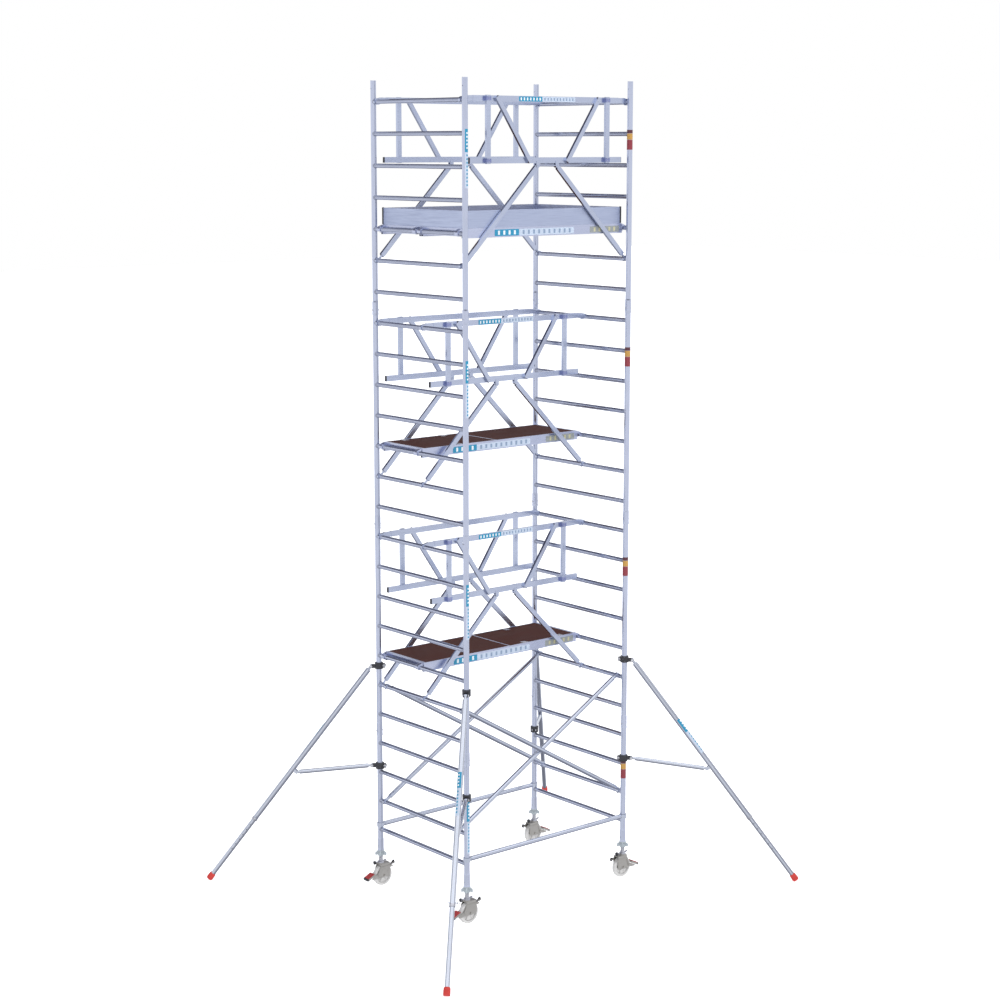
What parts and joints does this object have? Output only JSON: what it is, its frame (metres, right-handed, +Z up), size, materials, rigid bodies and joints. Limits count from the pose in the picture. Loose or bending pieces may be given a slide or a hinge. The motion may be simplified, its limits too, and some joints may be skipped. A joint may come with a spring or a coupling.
{
  "type": "mobile scaffold tower",
  "caption": "Tall rolling aluminium scaffold tower with ladder end frames, platforms with trapdoors, folding guardrails, toe boards, braked casters and telescopic outriggers.",
  "frame": {"origin": "on the floor at the middle of the tower's plan", "axes": "+X along the platforms from end frame A to end frame B, +Y across from the near side to the far side, +Z up"},
  "size_m": [4.3032, 3.6762, 7.459],
  "materials": {
    "frame_aluminium": "drawn aluminium tube, satin",
    "guardrail_aluminium": "extruded aluminium, satin",
    "brace_aluminium": "drawn aluminium tube, satin",
    "deck_aluminium": "extruded aluminium, satin",
    "toe_board_aluminium": "brushed aluminium sheet",
    "stabiliser_aluminium": "drawn aluminium tube, satin",
    "deck_ply": "phenolic-faced plywood, brown, anti-slip",
    "zinc_steel": "zinc-plated steel",
    "cast_zinc": "cast and zinc-plated",
    "fork_steel": "pressed steel, zinc-plated, dull",
    "wheel_nylon": "cast nylon, off-white",
    "clamp_black": "black powder coat",
    "foot_red": "moulded rubber, red"
  },
  "bodies": {
    "tower": {"frame_a_base": "frame_aluminium", "frame_a_lower": "frame_aluminium", "frame_a_middle": "frame_aluminium", "frame_a_upper": "frame_aluminium", "frame_b_base": "frame_aluminium", "frame_b_lower": "frame_aluminium", "frame_b_middle": "frame_aluminium", "frame_b_upper": "frame_aluminium", "frame_lock_pins": "zinc_steel", "guardrail_lower_inner": "guardrail_aluminium", "guardrail_lower_outer": "guardrail_aluminium", "guardrail_middle_inner": "guardrail_aluminium", "guardrail_middle_outer": "guardrail_aluminium", "guardrail_top_near": "guardrail_aluminium", "guardrail_top_far": "guardrail_aluminium", "braces": "brace_aluminium", "deck_frame_lower": "deck_aluminium", "deck_frame_middle": "deck_aluminium", "deck_frames_top": "deck_aluminium", "deck_boards": "deck_ply", "toe_boards": "toe_board_aluminium"},
    "trapdoor_lower": {"trapdoor_lower": "deck_ply"},
    "trapdoor_middle": {"trapdoor_middle": "deck_ply"},
    "trapdoor_top": {"trapdoor_top": "deck_ply"},
    "spindle_a_near": {"caster_spindle_a_near": "zinc_steel"},
    "adjust_nut_a_near": {"adjust_nut_a_near": "cast_zinc"},
    "fork_a_near": {"caster_fork_a_near": "fork_steel"},
    "wheel_a_near": {"caster_wheel_a_near": "wheel_nylon"},
    "brake_a_near": {"brake_pedal_a_near": "fork_steel"},
    "spindle_a_far": {"caster_spindle_a_far": "zinc_steel"},
    "adjust_nut_a_far": {"adjust_nut_a_far": "cast_zinc"},
    "fork_a_far": {"caster_fork_a_far": "fork_steel"},
    "wheel_a_far": {"caster_wheel_a_far": "wheel_nylon"},
    "brake_a_far": {"brake_pedal_a_far": "fork_steel"},
    "spindle_b_near": {"caster_spindle_b_near": "zinc_steel"},
    "adjust_nut_b_near": {"adjust_nut_b_near": "cast_zinc"},
    "fork_b_near": {"caster_fork_b_near": "fork_steel"},
    "wheel_b_near": {"caster_wheel_b_near": "wheel_nylon"},
    "brake_b_near": {"brake_pedal_b_near": "fork_steel"},
    "spindle_b_far": {"caster_spindle_b_far": "zinc_steel"},
    "adjust_nut_b_far": {"adjust_nut_b_far": "cast_zinc"},
    "fork_b_far": {"caster_fork_b_far": "fork_steel"},
    "wheel_b_far": {"caster_wheel_b_far": "wheel_nylon"},
    "brake_b_far": {"brake_pedal_b_far": "fork_steel"},
    "stabiliser_a_near": {"stabiliser_clamps_a_near": "clamp_black", "stabiliser_tube_a_near": "stabiliser_aluminium"},
    "stabiliser_leg_a_near": {"stabiliser_leg_a_near": "stabiliser_aluminium", "stabiliser_foot_a_near": "foot_red"},
    "stabiliser_a_far": {"stabiliser_clamps_a_far": "clamp_black", "stabiliser_tube_a_far": "stabiliser_aluminium"},
    "stabiliser_leg_a_far": {"stabiliser_leg_a_far": "stabiliser_aluminium", "stabiliser_foot_a_far": "foot_red"},
    "stabiliser_b_near": {"stabiliser_clamps_b_near": "clamp_black", "stabiliser_tube_b_near": "stabiliser_aluminium"},
    "stabiliser_leg_b_near": {"stabiliser_leg_b_near": "stabiliser_aluminium", "stabiliser_foot_b_near": "foot_red"},
    "stabiliser_b_far": {"stabiliser_clamps_b_far": "clamp_black", "stabiliser_tube_b_far": "stabiliser_aluminium"},
    "stabiliser_leg_b_far": {"stabiliser_leg_b_far": "stabiliser_aluminium", "stabiliser_foot_b_far": "foot_red"}
  },
  "joints": [
    {"name": "trapdoor_lower_hinge", "type": "hinge", "parent": "tower", "child": "trapdoor_lower", "pos_m": [0.5, 0.0163, 2.272], "axis": [1, 0, 0], "range_deg": [0, 88]},
    {"name": "trapdoor_middle_hinge", "type": "hinge", "parent": "tower", "child": "trapdoor_middle", "pos_m": [-0.5, 0.5707, 4.232], "axis": [-1, 0, 0], "range_deg": [0, 88]},
    {"name": "trapdoor_top_hinge", "type": "hinge", "parent": "tower", "child": "trapdoor_top", "pos_m": [0.5, 0.0163, 6.192], "axis": [1, 0, 0], "range_deg": [0, 88]},
    {"name": "nut_turn_a_near", "type": "hinge", "parent": "tower", "child": "adjust_nut_a_near", "pos_m": [-0.957, -0.6435, 0.3], "axis": [0, 0, 1], "range_deg": [0, 7500]},
    {"name": "spindle_slide_a_near", "type": "slide", "parent": "tower", "child": "spindle_a_near", "axis": [0, 0, -1], "range_m": [0, 0.25001]},
    {"name": "swivel_a_near", "type": "hinge", "parent": "spindle_a_near", "child": "fork_a_near", "pos_m": [-0.957, -0.6435, 0.22], "axis": [0, 0, 1], "continuous": true},
    {"name": "wheel_spin_a_near", "type": "hinge", "parent": "fork_a_near", "child": "wheel_a_near", "pos_m": [-0.942, -0.6435, 0.1], "axis": [0, 1, 0], "continuous": true},
    {"name": "brake_rock_a_near", "type": "hinge", "parent": "fork_a_near", "child": "brake_a_near", "pos_m": [-1.009, -0.6435, 0.112], "axis": [0, 1, 0], "range_deg": [0, 14]},
    {"name": "nut_turn_a_far", "type": "hinge", "parent": "tower", "child": "adjust_nut_a_far", "pos_m": [-0.957, 0.6435, 0.3], "axis": [0, 0, 1], "range_deg": [0, 7500]},
    {"name": "spindle_slide_a_far", "type": "slide", "parent": "tower", "child": "spindle_a_far", "axis": [0, 0, -1], "range_m": [0, 0.25001]},
    {"name": "swivel_a_far", "type": "hinge", "parent": "spindle_a_far", "child": "fork_a_far", "pos_m": [-0.957, 0.6435, 0.22], "axis": [0, 0, 1], "continuous": true},
    {"name": "wheel_spin_a_far", "type": "hinge", "parent": "fork_a_far", "child": "wheel_a_far", "pos_m": [-0.942, 0.6435, 0.1], "axis": [0, 1, 0], "continuous": true},
    {"name": "brake_rock_a_far", "type": "hinge", "parent": "fork_a_far", "child": "brake_a_far", "pos_m": [-1.009, 0.6435, 0.112], "axis": [0, 1, 0], "range_deg": [0, 14]},
    {"name": "nut_turn_b_near", "type": "hinge", "parent": "tower", "child": "adjust_nut_b_near", "pos_m": [0.957, -0.6435, 0.3], "axis": [0, 0, 1], "range_deg": [0, 7500]},
    {"name": "spindle_slide_b_near", "type": "slide", "parent": "tower", "child": "spindle_b_near", "axis": [0, 0, -1], "range_m": [0, 0.25001]},
    {"name": "swivel_b_near", "type": "hinge", "parent": "spindle_b_near", "child": "fork_b_near", "pos_m": [0.957, -0.6435, 0.22], "axis": [0, 0, 1], "continuous": true},
    {"name": "wheel_spin_b_near", "type": "hinge", "parent": "fork_b_near", "child": "wheel_b_near", "pos_m": [0.942, -0.6435, 0.1], "axis": [0, 1, 0], "continuous": true},
    {"name": "brake_rock_b_near", "type": "hinge", "parent": "fork_b_near", "child": "brake_b_near", "pos_m": [1.009, -0.6435, 0.112], "axis": [0, -1, 0], "range_deg": [0, 14]},
    {"name": "nut_turn_b_far", "type": "hinge", "parent": "tower", "child": "adjust_nut_b_far", "pos_m": [0.957, 0.6435, 0.3], "axis": [0, 0, 1], "range_deg": [0, 7500]},
    {"name": "spindle_slide_b_far", "type": "slide", "parent": "tower", "child": "spindle_b_far", "axis": [0, 0, -1], "range_m": [0, 0.25001]},
    {"name": "swivel_b_far", "type": "hinge", "parent": "spindle_b_far", "child": "fork_b_far", "pos_m": [0.957, 0.6435, 0.22], "axis": [0, 0, 1], "continuous": true},
    {"name": "wheel_spin_b_far", "type": "hinge", "parent": "fork_b_far", "child": "wheel_b_far", "pos_m": [0.942, 0.6435, 0.1], "axis": [0, 1, 0], "continuous": true},
    {"name": "brake_rock_b_far", "type": "hinge", "parent": "fork_b_far", "child": "brake_b_far", "pos_m": [1.009, 0.6435, 0.112], "axis": [0, -1, 0], "range_deg": [0, 14]},
    {"name": "stabiliser_swing_a_near", "type": "hinge", "parent": "tower", "child": "stabiliser_a_near", "pos_m": [-0.957, -0.6435, 1.65], "axis": [0, 0, 1], "range_deg": [-45, 45]},
    {"name": "stabiliser_extend_a_near", "type": "slide", "parent": "stabiliser_a_near", "child": "stabiliser_leg_a_near", "axis": [-0.4228, -0.4228, -0.8015], "range_m": [0, 0.45]},
    {"name": "stabiliser_swing_a_far", "type": "hinge", "parent": "tower", "child": "stabiliser_a_far", "pos_m": [-0.957, 0.6435, 1.65], "axis": [0, 0, 1], "range_deg": [-45, 45]},
    {"name": "stabiliser_extend_a_far", "type": "slide", "parent": "stabiliser_a_far", "child": "stabiliser_leg_a_far", "axis": [-0.4228, 0.4228, -0.8015], "range_m": [0, 0.45]},
    {"name": "stabiliser_swing_b_near", "type": "hinge", "parent": "tower", "child": "stabiliser_b_near", "pos_m": [0.957, -0.6435, 1.65], "axis": [0, 0, 1], "range_deg": [-45, 45]},
    {"name": "stabiliser_extend_b_near", "type": "slide", "parent": "stabiliser_b_near", "child": "stabiliser_leg_b_near", "axis": [0.4228, -0.4228, -0.8015], "range_m": [0, 0.45]},
    {"name": "stabiliser_swing_b_far", "type": "hinge", "parent": "tower", "child": "stabiliser_b_far", "pos_m": [0.957, 0.6435, 1.65], "axis": [0, 0, 1], "range_deg": [-45, 45]},
    {"name": "stabiliser_extend_b_far", "type": "slide", "parent": "stabiliser_b_far", "child": "stabiliser_leg_b_far", "axis": [0.4228, 0.4228, -0.8015], "range_m": [0, 0.45]}
  ],
  "couplings": [
    {"joint": "spindle_slide_a_near", "follows": "nut_turn_a_near", "m_per_rad": 0.0019099},
    {"joint": "spindle_slide_a_far", "follows": "nut_turn_a_far", "m_per_rad": 0.0019099},
    {"joint": "spindle_slide_b_near", "follows": "nut_turn_b_near", "m_per_rad": 0.0019099},
    {"joint": "spindle_slide_b_far", "follows": "nut_turn_b_far", "m_per_rad": 0.0019099}
  ]
}
